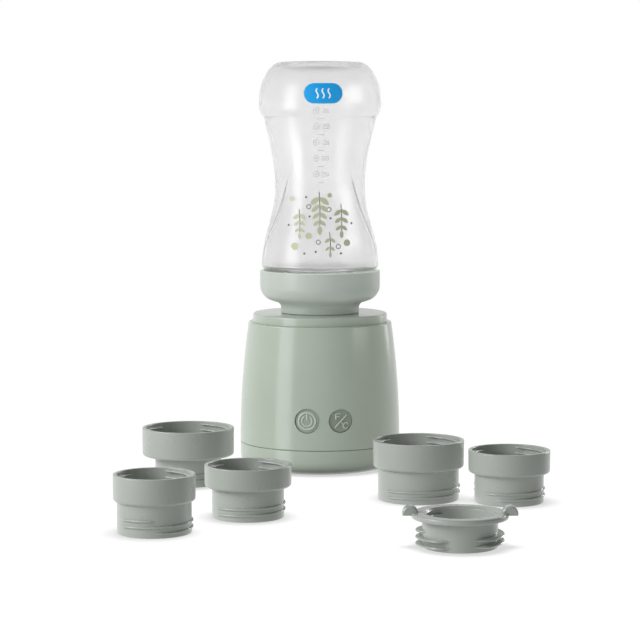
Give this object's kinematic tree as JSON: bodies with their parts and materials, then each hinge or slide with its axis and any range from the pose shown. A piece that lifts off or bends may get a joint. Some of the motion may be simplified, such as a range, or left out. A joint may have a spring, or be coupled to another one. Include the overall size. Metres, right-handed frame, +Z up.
{
  "type": "portable bottle warmer",
  "caption": "Sage-green battery bottle warmer with push buttons, a screw-in collar holding an upside-down clear feeding bottle, and loose threaded neck adapters.",
  "frame": {"origin": "on the floor under the middle of the base", "axes": "+Z up along the base's axis, -Y towards the buttons"},
  "size_m": [0.2254, 0.3222, 0.2367],
  "materials": {
    "sage_plastic": "satin moulded plastic, sage green",
    "button_plastic": "satin moulded plastic, sage green",
    "adapter_plastic": "matt moulded plastic, grey green",
    "clear_plastic": "clear moulded plastic",
    "silicone": "translucent silicone",
    "foot_rubber": "matt rubber",
    "cup_steel": "pressed stainless steel",
    "screw_steel": "plated steel",
    "white_plastic": "white heat-proof plastic",
    "heater_foil": "copper foil under a clear film",
    "insulation": "needled felt",
    "cell_wrap": "shrink wrap over steel cans",
    "black_plastic": "black moulded plastic",
    "circuit_board": "green solder mask",
    "lead_insulation": "soft insulated wire"
  },
  "bodies": {
    "base": {"outer_shell": "sage_plastic", "bottom_cover": "sage_plastic", "top_ring": "sage_plastic", "foot_pad": "foot_rubber", "heating_cup": "cup_steel", "usb_port": "screw_steel", "cup_seal": "silicone", "clamp_ring": "white_plastic", "clamp_screws": "screw_steel", "heater_disc": "white_plastic", "heater_band": "heater_foil", "temperature_probe": "screw_steel", "thermal_fuse": "white_plastic", "insulation_jacket": "insulation", "inner_frame": "white_plastic", "battery_cells": "cell_wrap", "cell_holder": "black_plastic", "cell_straps": "screw_steel", "control_board": "circuit_board", "board_chips": "black_plastic", "display_module": "black_plastic", "switch_bodies": "black_plastic", "charge_board": "circuit_board", "case_screws": "screw_steel", "board_screws": "screw_steel", "heater_leads": "lead_insulation", "battery_leads": "lead_insulation", "charge_leads": "lead_insulation"},
    "power": {"power_button": "button_plastic", "power_plunger": "black_plastic"},
    "unit": {"unit_button": "button_plastic", "unit_plunger": "black_plastic"},
    "gasket": {"mouth_gasket": "silicone"},
    "collar": {"collar": "adapter_plastic"},
    "seal": {"bottle_seal": "silicone"},
    "bottle": {"bottle": "clear_plastic"},
    "adapter_1": {"adapter_1": "adapter_plastic", "socket_seal_1": "silicone"},
    "adapter_2": {"adapter_2": "adapter_plastic", "socket_seal_2": "silicone"},
    "adapter_3": {"adapter_3": "adapter_plastic", "socket_seal_3": "silicone"},
    "adapter_4": {"adapter_4": "adapter_plastic", "socket_seal_4": "silicone"},
    "adapter_5": {"adapter_5": "adapter_plastic", "socket_seal_5": "silicone"},
    "reducing_ring": {"reducing_ring": "adapter_plastic"}
  },
  "joints": [
    {"name": "power_press", "type": "slide", "parent": "base", "child": "power", "axis": [0, 1, 0], "range_m": [0, 0.0006], "stiffness_N_per_m": 2500},
    {"name": "unit_press", "type": "slide", "parent": "base", "child": "unit", "axis": [0, 1, 0], "range_m": [0, 0.0006], "stiffness_N_per_m": 2500},
    {"name": "collar_turn", "type": "hinge", "parent": "base", "child": "gasket", "pos_m": [0, 0, 0.0744], "axis": [0, 0, 1], "range_deg": [0, 1800]},
    {"name": "collar_rise", "type": "slide", "parent": "gasket", "child": "collar", "axis": [0, 0, 1], "range_m": [0, 0.01605]},
    {"name": "bottle_turn", "type": "hinge", "parent": "collar", "child": "seal", "pos_m": [0, 0, 0.098], "axis": [0, 0, 1], "range_deg": [0, 1440]},
    {"name": "bottle_rise", "type": "slide", "parent": "seal", "child": "bottle", "axis": [0, 0, 1], "range_m": [0, 0.01605]},
    {"name": "adapter_1_lift", "type": "slide", "parent": "base", "child": "adapter_1", "axis": [0, 0, 1], "range_m": [0, 0.15]},
    {"name": "adapter_2_lift", "type": "slide", "parent": "base", "child": "adapter_2", "axis": [0, 0, 1], "range_m": [0, 0.15]},
    {"name": "adapter_3_lift", "type": "slide", "parent": "base", "child": "adapter_3", "axis": [0, 0, 1], "range_m": [0, 0.15]},
    {"name": "adapter_4_lift", "type": "slide", "parent": "base", "child": "adapter_4", "axis": [0, 0, 1], "range_m": [0, 0.15]},
    {"name": "adapter_5_lift", "type": "slide", "parent": "base", "child": "adapter_5", "axis": [0, 0, 1], "range_m": [0, 0.15]},
    {"name": "reducing_ring_lift", "type": "slide", "parent": "base", "child": "reducing_ring", "axis": [0, 0, 1], "range_m": [0, 0.15]}
  ],
  "couplings": [
    {"joint": "collar_rise", "follows": "collar_turn", "m_per_rad": 0.0005093},
    {"joint": "bottle_rise", "follows": "bottle_turn", "m_per_rad": 0.00063662}
  ]
}
